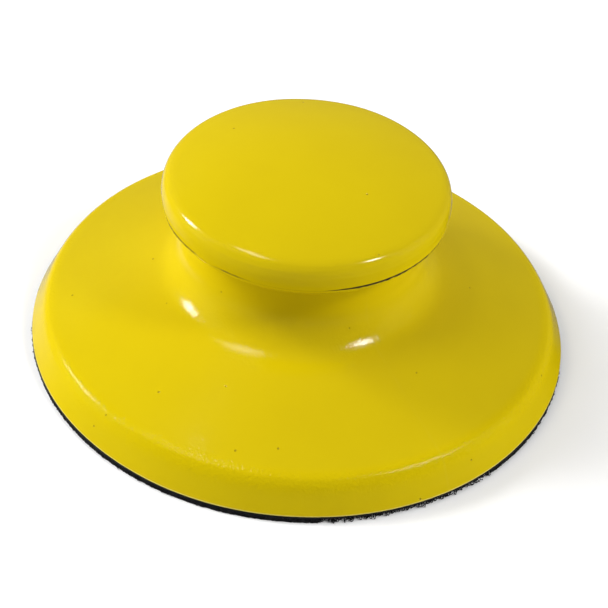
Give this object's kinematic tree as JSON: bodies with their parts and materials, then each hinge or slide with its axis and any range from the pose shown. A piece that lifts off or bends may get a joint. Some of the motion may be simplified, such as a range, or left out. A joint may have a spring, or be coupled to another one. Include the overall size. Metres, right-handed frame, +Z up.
{
  "type": "hand polishing pad",
  "caption": "Hand polishing pad with a mushroom knob on a flared neck, a wide round foam flange and a hook fastener face underneath.",
  "frame": {"origin": "centre of the plane of the hook tips, the face that the pad rests on", "axes": "+Z up the pad's axis to the knob; X lies in the plane where the mould's side parts met"},
  "size_m": [0.15, 0.15, 0.0569],
  "materials": {
    "skin": "glossy self-skinned polyurethane, moulded in yellow, with a few pinholes",
    "foam": "fine closed-cell polyurethane foam",
    "adhesive": "dried contact adhesive film",
    "backcoat": "flat grey-black coating",
    "cloth": "black woven nylon with a cut edge",
    "hooks": "black nylon monofilament hooks in rows"
  },
  "bodies": {
    "root": {"knob_skin": "skin", "body_skin": "skin", "base_skin": "skin", "foam_core": "foam", "adhesive_film": "adhesive", "hook_backcoat": "backcoat", "hook_cloth": "cloth", "hook_pile": "hooks"}
  },
  "joints": []
}
